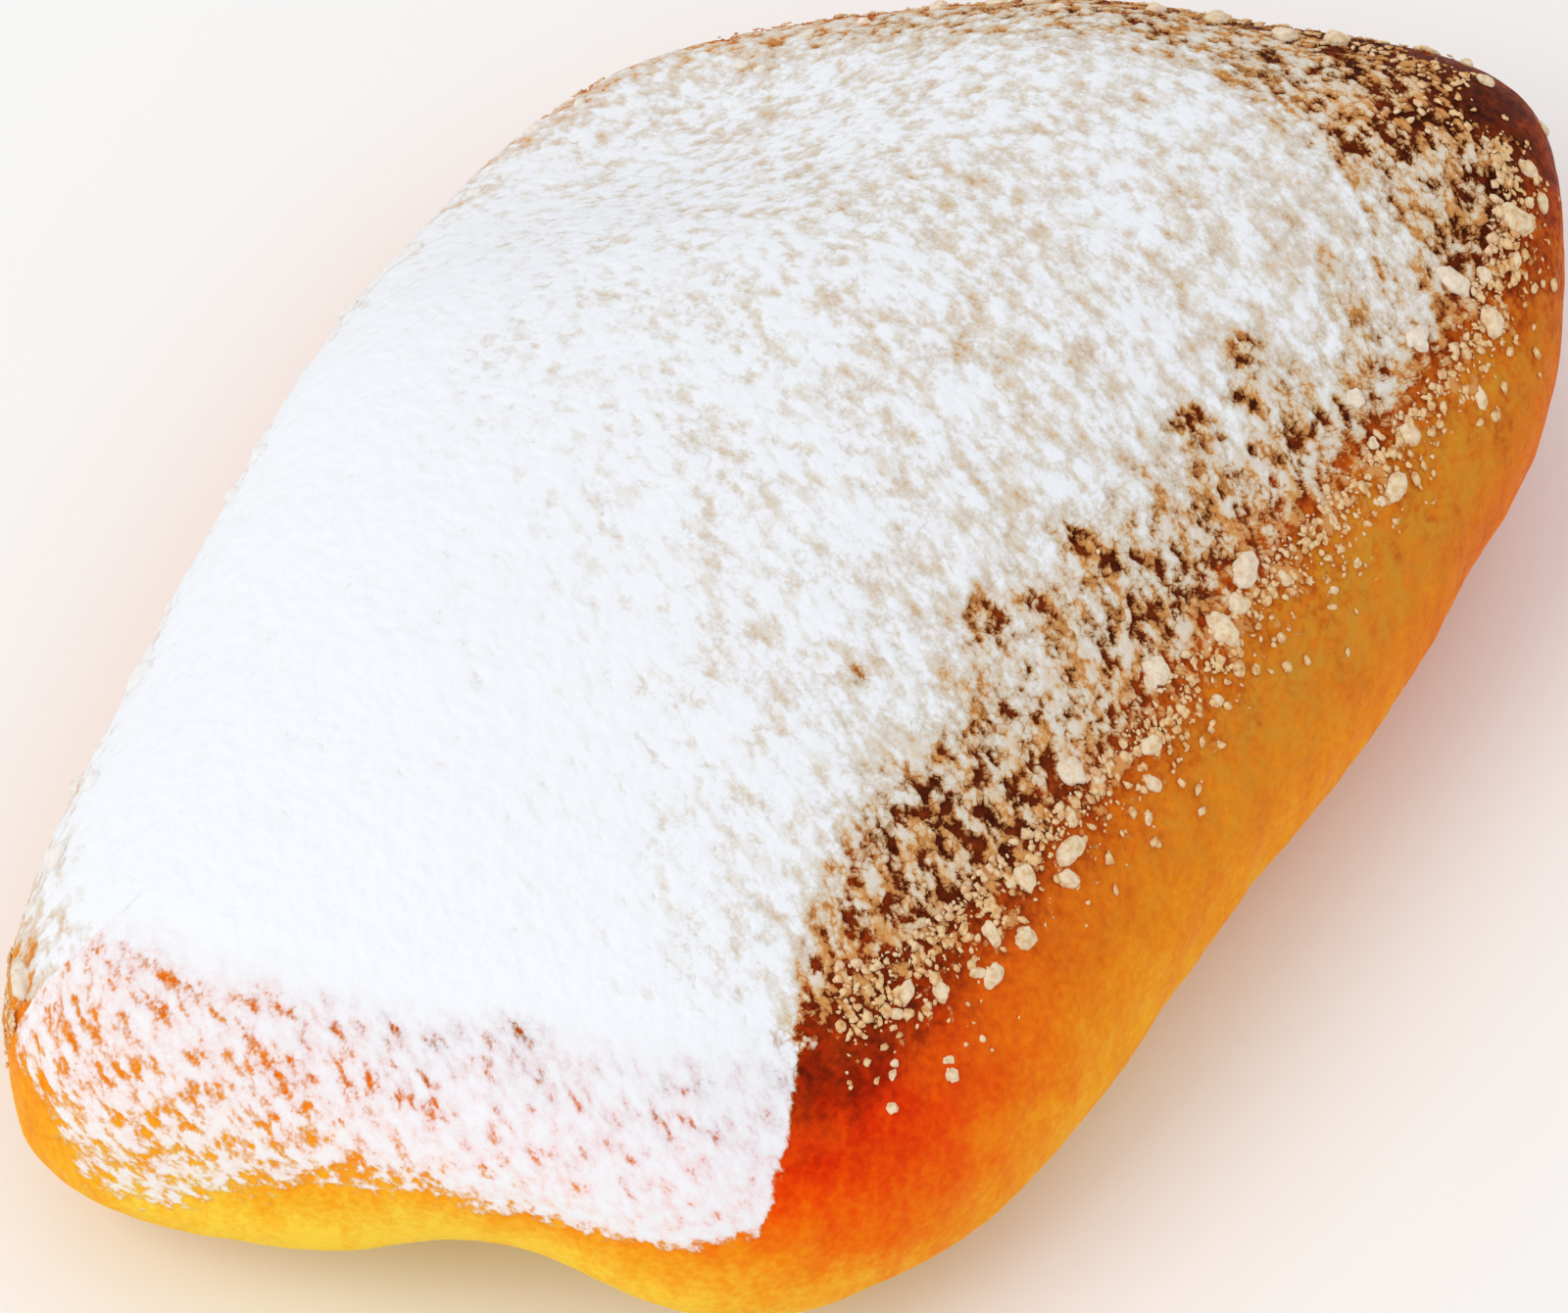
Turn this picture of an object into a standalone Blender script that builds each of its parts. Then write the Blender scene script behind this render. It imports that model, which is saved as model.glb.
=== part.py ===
"""A sugared beignet: one pillow of fried dough, with its largest sugar clumps fused on.

Metres, +Z up. +X runs from the near end, which is sugared down to its foot, to the far end.
-Y is the bare side. The origin is the middle of the footprint's box, on the surface below.
"""

import math
import random

import bmesh
import bpy
from mathutils import Quaternion, Vector, noise
from mathutils.bvhtree import BVHTree

# Driving dimensions of the pillow
LENGTH = 0.096  # end to end through the middle
WIDTH = 0.063  # side to side through the middle
FOOT_DEPTH = 0.0108  # waist down to the foot, before the foot is flattened
SHOULDER_RISE = 0.0133  # waist up to the shoulders
CROWN_RISE = 0.007  # extra puff of the crown over the shoulders
REST_CUT = 0.001  # how much of the foot's curve is flat against the surface below

# How square or round the pillow is: 2 is an ellipse, and larger is squarer
PLAN_POWER = 4.85
SHOULDER_POWER = 3.5
FOOT_POWER = 3.25

# How the cut piece of dough strayed from a true oblong
SKEW = -0.24  # shift along X for each metre along Y
FLARE = 0.127  # the far end is wider than the middle by this share, the near end narrower
SIDE_LEAN = 0.138  # the side walls lean in by this share at the shoulders
END_SPLAY = 0.024  # the end walls lean out by this share at the shoulders

# Grid of the faceted skin: cells along the length, the width and the wall
CELLS = (42, 27, 14)

# Soft undulation all over the skin
RIPPLE_SIZE = 0.011
RIPPLE_HEIGHT = 0.0002

# Swells and dents of the dough. Each has its place, as a point of the cube that the pillow
# is shaped from, how far it pushes the skin out (or in, below 0), and its reach along X, Y, Z.
SWELLS = {
    "near corner foot": ((-1.0, -0.72, -0.9), -0.0018, (0.0124, 0.0099, 0.0099)),
    "fold in the near foot": ((-1.0, -0.23, -0.9), -0.0056, (0.0158, 0.0079, 0.0119)),
    "left lobe foot": ((-1.0, 0.38, -0.9), -0.0018, (0.0152, 0.0122, 0.0122)),
    "left corner waist": ((-1.0, 1.0, -0.3), -0.0008, (0.0127, 0.0127, 0.0127)),
    "bare side near foot": ((-0.25, -1.0, -0.8), -0.0018, (0.0138, 0.0103, 0.0103)),
    "bare side foot": ((0.41, -1.0, -0.8), -0.0021, (0.0127, 0.0127, 0.0127)),
    "bare side far foot": ((0.8, -1.0, -0.7), -0.0019, (0.0153, 0.0131, 0.0131)),
    "tip waist": ((1.0, -1.0, -0.1), -0.0057, (0.0117, 0.0117, 0.0108)),
    "tip brow": ((1.0, -0.8, 0.9), 0.0021, (0.0128, 0.0110, 0.0092)),
    "far shoulder": ((1.0, 0.1, 1.0), 0.0018, (0.0140, 0.0161, 0.0100)),
    "far corner brow": ((0.85, 0.85, 1.0), -0.0070, (0.0186, 0.0167, 0.0130)),
    "far corner foot": ((1.0, 0.9, -0.7), 0.0022, (0.0180, 0.0160, 0.0080)),
    "back shoulder": ((0.09, 1.0, 0.9), 0.0021, (0.0196, 0.0153, 0.0109)),
    "back side foot": ((-0.2, 1.0, -0.8), -0.0016, (0.0150, 0.0110, 0.0090)),
}

# Sugar clumps caught on the shoulders and the upper walls
CLUMP_SEED = 7
CLUMP_COUNT = 84
CLUMP_RADIUS = (0.00036, 0.00085)  # the smallest and the largest, before they are stretched
CLUMP_SMALLNESS = 1.4  # above 1, most clumps are nearer the smallest size
CLUMP_STRETCH = 1.7  # how much longer than wide a clump can be
CLUMP_FLATNESS = 0.7  # height over width
CLUMP_KNOBS = 0.35  # unevenness, as a share of the radius
CLUMP_SPAN = 0.92  # how far towards a wall's ends its band reaches
CLUMP_CLIMB = 0.6  # below 1, most clumps are nearer the top of the band

# Each wall's band of clumps: the cube's axis and side, its share of the clumps, the band's top
# and bottom as heights on the cube, and how much they gather towards the near end (above 1).
CLUMP_BANDS = {
    "bare side": ("y", -1.0, 0.60, 1.00, 0.58, 1.25),
    "back side": ("y", 1.0, 0.20, 0.60, 0.10, 1.0),
    "far end": ("x", 1.0, 0.20, 0.90, 0.40, 1.0),
}

CRUST_COLOUR = (0.72, 0.30, 0.06, 1.0)
CRUST_ROUGHNESS = 0.5


def pillow(place):
    """The skin's point for a point of the cube, before swells and flattening."""
    a, b, h = place
    rim = (abs(a) ** PLAN_POWER + abs(b) ** PLAN_POWER) ** (1 / PLAN_POWER)
    power = SHOULDER_POWER if h > 0 else FOOT_POWER
    shrink = (rim**power + abs(h) ** power) ** (1 / power)
    a, b, h = a / shrink, b / shrink, h / shrink
    up = max(h, 0.0)
    y = WIDTH / 2 * b * (1 + FLARE * a - SIDE_LEAN * up**2)
    x = LENGTH / 2 * a * (1 + END_SPLAY * up**2) + SKEW * y
    z = h * (SHOULDER_RISE if h > 0 else FOOT_DEPTH)
    z += CROWN_RISE * up * (1 - a * a) * (1 - b * b)
    return Vector((x, y, z))


def outward(point):
    """The way out of the pillow at a point near its skin."""
    half = (LENGTH, WIDTH, 2 * SHOULDER_RISE)
    return Vector([c / size**2 for c, size in zip(point, half)]).normalized()


def swollen(point):
    """A skin point moved by every swell and by the soft undulation."""
    moved = point + noise.noise(point / RIPPLE_SIZE) * RIPPLE_HEIGHT * outward(point)
    for place, push, reach in SWELLS.values():
        middle = pillow(place)
        away = sum((gap / size) ** 2 for gap, size in zip(point - middle, reach))
        moved += push * math.exp(-away) * outward(middle)
    return moved


def sliced_cube():
    """A cube of side 2 whose faces are cut into the grid's cells."""
    skin = bmesh.new()
    bmesh.ops.create_cube(skin, size=2.0)
    for axis, count in enumerate(CELLS):
        across = Vector([float(i == axis) for i in range(3)])
        for cut in range(1, count):
            bmesh.ops.bisect_plane(
                skin,
                geom=skin.verts[:] + skin.edges[:] + skin.faces[:],
                plane_co=across * (2 * cut / count - 1),
                plane_no=across,
            )
    return skin


def rest_on_foot(skin):
    """Flattens the foot's lowest part and brings the footprint's middle to the origin."""
    floor = min(v.co.z for v in skin.verts) + REST_CUT
    for v in skin.verts:
        v.co.z = max(v.co.z - floor, 0.0)
    lows = [min(v.co[i] for v in skin.verts) for i in (0, 1)]
    highs = [max(v.co[i] for v in skin.verts) for i in (0, 1)]
    middle = [(low + high) / 2 for low, high in zip(lows, highs)]
    bmesh.ops.translate(skin, verts=skin.verts, vec=(-middle[0], -middle[1], 0.0))
    return Vector((middle[0], middle[1], floor))


def object_from(skin, name, collection):
    """A smooth-shaded object made of a bmesh, which is freed."""
    mesh = bpy.data.meshes.new(name)
    skin.to_mesh(mesh)
    skin.free()
    mesh.shade_smooth()
    made = bpy.data.objects.new(name, mesh)
    collection.objects.link(made)
    return made


def clump_places():
    """Where the clumps sit, as cube points, spread evenly along each wall's band."""
    draw = random.Random(CLUMP_SEED)
    smallest, largest = CLUMP_RADIUS
    places = []
    for axis, wall, share, high, low, gather in CLUMP_BANDS.values():
        count = round(CLUMP_COUNT * share)
        for i in range(count):
            along = CLUMP_SPAN * (2 * ((i + draw.random()) / count) ** gather - 1)
            height = low + (high - low) * draw.random() ** CLUMP_CLIMB
            radius = smallest + (largest - smallest) * draw.random() ** CLUMP_SMALLNESS
            stretch = draw.uniform(1.0, CLUMP_STRETCH)
            place = (wall, along, height) if axis == "x" else (along, wall, height)
            places.append((place, radius, stretch))
    return places


def sugar_clump(centre, normal, radius, stretch, number):
    """A knobbly lump of sugar, half sunk in the skin and turned its own way round the normal."""
    lump = bmesh.new()
    bmesh.ops.create_icosphere(lump, subdivisions=1, radius=radius)
    turn = normal.to_track_quat("Z", "Y") @ Quaternion((0.0, 0.0, 1.0), number)
    for v in lump.verts:
        knob = 1 + CLUMP_KNOBS * noise.noise(v.co / radius + Vector((number, 0.0, 0.0)))
        v.co = turn @ (v.co * Vector((knob * stretch, knob, CLUMP_FLATNESS)))
    bmesh.ops.translate(lump, verts=lump.verts, vec=centre)
    return lump


def crust_material():
    """Golden fried crust."""
    material = bpy.data.materials.new("fried_crust")
    material.use_nodes = True
    shader = material.node_tree.nodes["Principled BSDF"]
    shader.inputs["Base Color"].default_value = CRUST_COLOUR
    shader.inputs["Roughness"].default_value = CRUST_ROUGHNESS
    shader.inputs["Metallic"].default_value = 0.0
    return material


def join_clumps(body, clumps):
    """One union of the pillow with all its clumps, applied, after which the clumps go."""
    union = body.modifiers.new("clumps", "BOOLEAN")
    union.operation = "UNION"
    union.operand_type = "COLLECTION"
    union.collection = clumps
    seen = bpy.context.evaluated_depsgraph_get()
    joined = bpy.data.meshes.new_from_object(body.evaluated_get(seen))
    body.modifiers.remove(union)
    body.data = joined
    for clump in list(clumps.objects):
        bpy.data.objects.remove(clump)
    bpy.data.collections.remove(clumps)


def main():
    for old in list(bpy.data.objects):
        bpy.data.objects.remove(old)
    scene = bpy.context.scene
    skin = sliced_cube()
    for v in skin.verts:
        v.co = swollen(pillow(v.co))
    shift = rest_on_foot(skin)
    tree = BVHTree.FromBMesh(skin)
    body = object_from(skin, "beignet", scene.collection)

    clumps = bpy.data.collections.new("clumps")
    scene.collection.children.link(clumps)
    for number, (place, radius, stretch) in enumerate(clump_places()):
        at, normal, _, _ = tree.find_nearest(swollen(pillow(place)) - shift)
        lump = sugar_clump(at, normal, radius, stretch, number)
        object_from(lump, f"clump_{number:02d}", clumps)
    bpy.context.view_layer.update()
    join_clumps(body, clumps)
    body.data.materials.clear()
    body.data.materials.append(crust_material())


main()
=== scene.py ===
"""The looks of the sugared beignet: its crust, its coat of powdered sugar, its grains and clumps.

Metres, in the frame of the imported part: +Z up, +X from the near end to the far end, and -Y the
bare side. The crust and the coat are shaped from the same cube as the part's pillow. A place on
that cube (a along the length, b across, h up, each from -1 to 1) also says where each patch of
colour or sugar is.
"""

import math
import random

import bmesh
import bpy
import numpy as np
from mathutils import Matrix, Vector, noise


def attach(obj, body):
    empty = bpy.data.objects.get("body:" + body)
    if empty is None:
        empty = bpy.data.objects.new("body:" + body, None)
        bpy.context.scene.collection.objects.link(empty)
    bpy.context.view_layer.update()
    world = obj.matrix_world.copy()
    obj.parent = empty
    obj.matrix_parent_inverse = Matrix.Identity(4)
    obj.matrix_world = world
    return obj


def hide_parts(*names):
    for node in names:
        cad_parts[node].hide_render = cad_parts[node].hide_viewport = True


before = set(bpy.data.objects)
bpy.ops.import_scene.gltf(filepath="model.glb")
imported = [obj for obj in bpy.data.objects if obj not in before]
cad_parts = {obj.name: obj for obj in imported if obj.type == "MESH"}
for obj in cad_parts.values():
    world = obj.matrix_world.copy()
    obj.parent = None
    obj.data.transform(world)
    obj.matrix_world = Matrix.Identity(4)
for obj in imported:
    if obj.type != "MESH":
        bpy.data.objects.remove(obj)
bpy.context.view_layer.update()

# The pillow, as the part has it
LENGTH = 0.096
WIDTH = 0.063
FOOT_DEPTH = 0.0108
SHOULDER_RISE = 0.0133
CROWN_RISE = 0.007
REST_CUT = 0.001
PLAN_POWER = 4.85
SHOULDER_POWER = 3.5
FOOT_POWER = 3.25
SKEW = -0.24
FLARE = 0.127
SIDE_LEAN = 0.138
END_SPLAY = 0.024
RIPPLE_SIZE = 0.011
RIPPLE_HEIGHT = 0.0002
SWELLS = {
    "near corner foot": ((-1.0, -0.72, -0.9), -0.0018, (0.0124, 0.0099, 0.0099)),
    "fold in the near foot": ((-1.0, -0.23, -0.9), -0.0056, (0.0158, 0.0079, 0.0119)),
    "left lobe foot": ((-1.0, 0.38, -0.9), -0.0018, (0.0152, 0.0122, 0.0122)),
    "left corner waist": ((-1.0, 1.0, -0.3), -0.0008, (0.0127, 0.0127, 0.0127)),
    "bare side near foot": ((-0.25, -1.0, -0.8), -0.0018, (0.0138, 0.0103, 0.0103)),
    "bare side foot": ((0.41, -1.0, -0.8), -0.0021, (0.0127, 0.0127, 0.0127)),
    "bare side far foot": ((0.8, -1.0, -0.7), -0.0019, (0.0153, 0.0131, 0.0131)),
    "tip waist": ((1.0, -1.0, -0.1), -0.0057, (0.0117, 0.0117, 0.0108)),
    "tip brow": ((1.0, -0.8, 0.9), 0.0021, (0.0128, 0.0110, 0.0092)),
    "far shoulder": ((1.0, 0.1, 1.0), 0.0018, (0.0140, 0.0161, 0.0100)),
    "far corner brow": ((0.85, 0.85, 1.0), -0.0070, (0.0186, 0.0167, 0.0130)),
    "far corner foot": ((1.0, 0.9, -0.7), 0.0022, (0.0180, 0.0160, 0.0080)),
    "back shoulder": ((0.09, 1.0, 0.9), 0.0021, (0.0196, 0.0153, 0.0109)),
    "back side foot": ((-0.2, 1.0, -0.8), -0.0016, (0.0150, 0.0110, 0.0090)),
}

TINY = 1e-6
ON_FACE = 1 - TINY  # a place is on a face of the cube when its a, b or h is past this

# Cells of the cube along its three axes, and how many times each one's edges are cut again
CELLS = (36, 23, 12)
CRUST_CUTS = 4
SUGAR_CUTS = 17

# Relief of the bare crust: soft wrinkles and small blisters
WRINKLE_SIZE = 0.0042
WRINKLE_HEIGHT = 0.00016
BLISTER_SIZE = 0.0013
BLISTER_HEIGHT = 0.00006
FOOT_FADE = 0.0012  # the relief fades out over this height above the foot's flat

# The sugar drifted across the crown along this way, so its lumps are longer along it
DRIFT = Vector((0.50, 0.84, 0.30)).normalized()
UPWARDS = Vector((0.0, 0.0, 1.0))
LUMP_STRETCH = 0.30  # 0 leaves lumps round, and 0.5 makes them twice as long as wide
FILM_STRETCH = 0.58  # the same for the film on the near end

# The full coat thins across the crown. A place's a and b are weighed by THINNING_WAY and added up,
# and COAT_ACROSS has four such sums, and the coat's mean thickness at each.
THINNING_WAY = (1.0, -0.9)
COAT_ACROSS = ((-0.8, -0.2, 0.3, 1.2), (0.00074, 0.00058, 0.00051, 0.00048))
COAT = 0.00062  # a coat of this mean thickness hides all of the crust's own relief
COAT_FLATNESS = 0.00026  # lumps rise more slowly above this thickness
COAT_FLATTENED = 0.4  # the share of their height that lumps keep above it
COAT_CURVE = 0.7  # below 1, the coat thins sooner on the way to its edge
COAT_SINK = 0.0003  # how far under the crust the coat dives where it ends
SUNKEN_DEPTH = 0.00004  # faces deeper than this under the crust are dropped
COAT_INSET = 0.00035  # the crust lies this much lower under such a coat

# Under this mean thickness the coat breaks up into lace, wholly so at the second one
LACE_START = 0.00046
LACE_FULL = 0.00014
LACE_FILM = 0.85  # how nearly lace is pressed flat, and hides the crust, as a film does

# The sugar's own relief: long drifts, lumps upon lumps, and granules. The lumps and granules are
# each given a height on the full coat and one in the lace.
DRIFT_SIZE = 0.0034
DRIFT_HEIGHT = 0.00013
LUMP_SIZE = 0.00090
LUMP_HEIGHTS = (0.00018, 0.00048)
LUMP_ROUGHNESS = 0.60
LUMP_STEP = 2.1  # each size of lump is this many times smaller than the one before
LUMP_OCTAVES = 4
GRANULE_SIZE = 0.00050
GRANULE_HEIGHTS = (0.00004, 0.00022)

# Between these turns, which are the near end, the coat is a thin and streaky film. It starts to be
# one at the first of these reaches, and is wholly one at the second.
FILM_TURNS = (0.0, 2.0)
FILM_REACH = (0.90, 1.08)
FILM_COATS = ((0.2, 0.9, 1.8), (0.00015, 0.00020, 0.00020))  # its mean thickness, for three turns
FILM_SIZE = 0.00066
FILM_HEIGHT = 0.00015
FILM_FLATNESS = 0.00009  # it rises more slowly above this thickness
FILM_FLATTENED = 0.10  # the share of its height that it keeps above it
FILM_HIDING = 1.6  # a film hides the crust as well as a coat this many times as thick
FILM_WHITENESS = 4.0  # and turns white up to this many times sooner

# How far the sugar reaches, going round the plan. A turn is 8 units: the near end is 0 to 2, from
# the left corner, the bare side is 2 to 4, the far end 4 to 6 and the back side 6 to 8. A reach of
# 1 is the cube's upper rim and 3 its lower rim. Each line has the turn, the reach where the coat
# starts to thin, the reach of its edge, its mean thickness there in millimetres, and how many
# millimetres it loses for each unit of reach past its edge.
SUGAR_REACH = [
    (0.00, 1.05, 1.50, 0.17, 1.4),
    (0.22, 0.98, 1.58, 0.11, 0.8),
    (0.38, 0.96, 1.93, 0.09, 0.7),
    (0.55, 0.94, 2.02, 0.09, 0.8),
    (0.70, 0.96, 1.68, 0.11, 0.7),
    (0.85, 0.98, 1.53, 0.13, 0.8),
    (1.05, 1.00, 1.52, 0.14, 0.8),
    (1.20, 1.00, 1.63, 0.17, 1.0),
    (1.35, 1.00, 1.63, 0.20, 1.8),
    (1.60, 1.00, 1.64, 0.21, 3.0),
    (1.75, 0.98, 1.56, 0.22, 3.0),
    (1.84, 0.84, 1.20, 0.22, 3.0),
    (1.90, 0.72, 0.90, 0.17, 2.4),
    (2.00, 0.58, 0.78, 0.12, 1.8),
    (2.20, 0.52, 0.90, 0.12, 1.6),
    (2.40, 0.50, 0.95, 0.13, 1.7),
    (2.70, 0.52, 1.03, 0.16, 1.7),
    (3.10, 0.57, 1.05, 0.18, 1.7),
    (3.50, 0.76, 1.09, 0.28, 1.9),
    (3.80, 0.72, 1.00, 0.23, 1.8),
    (4.10, 0.66, 0.88, 0.15, 3.4),
    (4.40, 0.70, 1.00, 0.20, 2.0),
    (4.80, 0.78, 1.10, 0.21, 1.6),
    (5.20, 0.86, 1.20, 0.21, 1.4),
    (5.70, 1.02, 1.42, 0.27, 1.6),
    (6.10, 1.24, 1.66, 0.34, 2.0),
    (6.60, 1.38, 1.88, 0.42, 2.6),
    (7.20, 1.40, 1.92, 0.42, 2.6),
    (7.60, 1.34, 1.85, 0.38, 2.4),
    (7.85, 1.15, 1.60, 0.26, 1.8),
]

# Gaps in the coat and thinner stretches of it, each as (place on the cube, change in thickness,
# reach along X, Y and Z)
COAT_GAPS = {
    "far gap": ((0.32, -0.69, 1.0), -0.00030, (0.0014, 0.0010, 0.002)),
    "far gap beside it": ((0.27, -0.77, 1.0), -0.00026, (0.0010, 0.0013, 0.002)),
    "middle gap": ((0.19, -0.69, 1.0), -0.00028, (0.0014, 0.0010, 0.002)),
    "gap on the rim": ((-0.05, -0.68, 1.0), -0.00026, (0.0012, 0.0018, 0.002)),
    "near gap": ((-0.20, -0.59, 1.0), -0.00024, (0.0016, 0.0011, 0.002)),
    "near gap beside it": ((-0.14, -0.66, 1.0), -0.00022, (0.0010, 0.0015, 0.002)),
    "nearest gap": ((-0.32, -0.43, 1.0), -0.00020, (0.0017, 0.0010, 0.002)),
    "near rim": ((-0.52, -0.66, 1.0), -0.00006, (0.0050, 0.0035, 0.003)),
    "far corner": ((0.80, -0.64, 1.0), -0.00014, (0.0060, 0.0050, 0.004)),
    "near brow": ((-1.0, -0.17, 0.98), -0.00014, (0.0016, 0.0022, 0.0014)),
}

# How much the crust's browning varies in soft patches, and their size
BAKE_UNEVENNESS = 0.06
BAKE_PATCH_SIZE = 0.009

# How browned the crust is, from 0 to 1. Each line has a turn round the plan, and a value for each of
# these reaches.
BAKE_REACHES = (0.0, 0.60, 0.85, 1.05, 1.25, 1.60, 2.10, 3.00)
BAKE = [
    (0.20, (0.88, 0.80, 0.70, 0.54, 0.44, 0.36, 0.20, 0.10)),
    (0.60, (0.88, 0.80, 0.72, 0.60, 0.48, 0.28, 0.03, 0.00)),
    (1.00, (0.88, 0.82, 0.76, 0.66, 0.54, 0.26, 0.02, 0.00)),
    (1.70, (0.88, 0.84, 0.80, 0.70, 0.58, 0.32, 0.05, 0.00)),
    (2.10, (0.88, 0.88, 0.90, 0.82, 0.58, 0.38, 0.19, 0.07)),
    (2.60, (0.88, 0.90, 0.92, 0.80, 0.60, 0.42, 0.27, 0.16)),
    (3.20, (0.88, 0.90, 0.95, 0.82, 0.64, 0.53, 0.43, 0.32)),
    (3.70, (0.88, 0.90, 0.96, 0.88, 0.73, 0.65, 0.59, 0.48)),
    (4.10, (0.88, 0.90, 0.96, 0.94, 0.84, 0.76, 0.67, 0.54)),
    (4.50, (0.88, 0.90, 0.96, 0.94, 0.86, 0.72, 0.60, 0.46)),
    (5.60, (0.88, 0.90, 0.95, 0.92, 0.80, 0.66, 0.56, 0.42)),
    (6.60, (0.88, 0.84, 0.80, 0.74, 0.64, 0.54, 0.46, 0.34)),
    (7.60, (0.88, 0.82, 0.74, 0.60, 0.50, 0.42, 0.34, 0.22)),
]

# Ruddy patches of the crust, partly painted shade at the near corner, and patches dusted with fine
# sugar, each as (place on the cube, amount, reach along X, Y and Z)
REDNESS_AND_SHADE = {
    # The near corner's patches are partly painted shade, darkening that corner to deep red.
    "near corner": ((-0.97, -1.0, 0.50), 1.0, (0.013, 0.010, 0.009)),
    "near corner low": ((-0.80, -1.0, 0.0), 0.20, (0.012, 0.010, 0.007)),
    "near brow": ((-1.0, -0.30, 0.75), 0.6, (0.009, 0.018, 0.006)),
    "tip": ((0.9, -1.0, 0.0), 0.30, (0.016, 0.014, 0.010)),
}
DUSTING = {
    "bare side": ((0.05, -1.0, 0.60), 1.0, (0.024, 0.008, 0.0055)),
    "bare side far": ((0.50, -1.0, 0.60), 0.42, (0.016, 0.006, 0.0035)),
    "back side": ((0.0, 1.0, 0.4), 0.8, (0.030, 0.010, 0.007)),
    "far end": ((1.0, 0.2, 0.6), 0.5, (0.010, 0.020, 0.006)),
}

# Crust colours from pale to dark, as (browning, colour in display values from 0 to 255)
GOLDEN = [
    (0.00, (252, 212, 66)),
    (0.20, (250, 176, 30)),
    (0.40, (243, 138, 14)),
    (0.56, (226, 108, 10)),
    (0.72, (182, 72, 12)),
    (0.86, (112, 42, 12)),
    (1.00, (62, 20, 8)),
]
# The ruddy ramp, mixed in by the ruddy patches; at the near corner its dark end is partly painted shade.
RUDDY = [
    (0.00, (252, 170, 30)),
    (0.20, (248, 118, 6)),
    (0.40, (240, 76, 2)),
    (0.56, (222, 46, 2)),
    (0.72, (166, 30, 2)),
    (0.86, (104, 22, 4)),
    (1.00, (58, 12, 4)),
]
DUST_COLOUR = (206, 151, 48)

# Powdered sugar hides the crust more the deeper it lies, and turns from cream to white from one
# depth to another, all in millimetres
HIDING_DEPTH = 0.15  # at this depth, 37% of the crust's colour still comes through
CREAM_DEPTH = 0.04
WHITE_DEPTH = 0.56

# The sugar's colours from creamy to white, as (whiteness, colour), and the two of loose lumps where
# the coat is thin
SUGAR_WHITE = (242, 245, 250)
SUGAR_TINTS = [
    (0.00, (214, 152, 88)),
    (0.12, (220, 182, 136)),
    (0.28, (222, 204, 180)),
    (0.55, (226, 219, 209)),
    (0.88, SUGAR_WHITE),
]
GRAIN_TINTS = ((214, 146, 78), (240, 208, 158))
CLUMP_TINTS = ((216, 176, 126), (239, 219, 186))

WHITE_COVER = 0.00044  # the coat is at its whitest from this mean thickness up
LUMP_WHITE_COVER = 0.00080  # and loose lumps are at theirs from this one up
GRAIN_COVER = 0.00012  # above this mean thickness a loose grain is lost in the coat

# The coat is made of crumbs with cracks between them, which its shader adds
CRUMB_SCALE = 1900.0  # crumbs in a metre
CRUMB_WAVER = 0.00022  # how far the cracks wander
CRUMB_WAVER_DETAIL = 2.0
CRACK_WIDTH = 0.13  # as a share of a crumb
CRACK_DEPTHS = (0.06, 0.24)  # in millimetres, on the full coat and in the lace
FILM_CRACK_DEPTH = 0.04  # in millimetres, in the film

# Cream veins in the coat, partly painted shade of the wrinkles on the far crown. They grow
# stronger as its mean thickness falls from the first value to the second.
VEIN_AND_SHADE_COVERS = (0.00084, 0.00054)

# The shaders' noises, each as (features in a metre, detail, roughness, way of stretch, stretch) or
# the first two or three of these. A range is what two values of a noise become.
# The veins make the coat creamier and darker, partly as painted shade of its wrinkles
VEIN_AND_SHADE_NOISE = (1000.0, 4.0, 0.58, DRIFT, 0.62)
VEIN_AND_SHADE_RANGE = (0.44, 0.68, 0.0, 0.44)  # how much creamier than the rest
SPECKLE_NOISE = (4200.0, 2.0)
SPECKLE_RANGE = (0.3, 0.7, -0.04, 0.04)  # millimetres more or less of the coat's depth
LUMP_TINT_NOISE = (2400.0, 3.0)
LUMP_TINT_RANGE = (0.30, 0.58)  # from the darker cream to the paler
MOTTLE_NOISE = (420.0, 4.0, 0.66, UPWARDS, 0.55)
MOTTLE_RANGE = (0.3, 0.7, -0.09, 0.09)  # added to the browning
FLECK_NOISE = (2000.0, 2.0)
FLECK_RANGE = (0.35, 0.65, -0.05, 0.05)  # added to it too
RUDDY_NOISE = (260.0, 2.0)
RUDDY_RANGE = (0.3, 0.7, -0.25, 0.25)  # less or more redness, as a share of it
DUST_NOISE = (900.0, 3.0)
DUST_RANGE = (0.36, 0.64, 0.35, 0.80)  # the share of the dusting that lies there
DUST_FADE = (0.60, 0.78, 1.0, 0.0)  # and the share that is kept where the crust is this browned
CRUST_GLOSS_NOISE = (700.0, 2.0)
CRUST_GLOSS_RANGE = (0.3, 0.7, 0.42, 0.62)  # the crust's roughness

# Roughness and specular reflection of each surface
CRUST_SURFACE = (0.55, 0.03)
SUGAR_SURFACE = (0.95, 0.04)
LUMP_SURFACE = (0.9, 0.06)
FLOOR_SURFACE = (0.8, 0.1)

# The finest relief is only in the shaders: noises, and each surface's (height in metres, strength)
CRUST_PIT_NOISES = ((900.0, 4.0), (3200.0, 2.0))
CRUST_BUMP = (0.00012, 0.6)
SUGAR_POWDER_NOISE = (4600.0, 3.0, 0.7)
SUGAR_BUMP = (0.00010, 0.35)
LUMP_POWDER_NOISE = (4200.0, 2.0)
LUMP_BUMP = (0.00010, 0.7)

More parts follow.
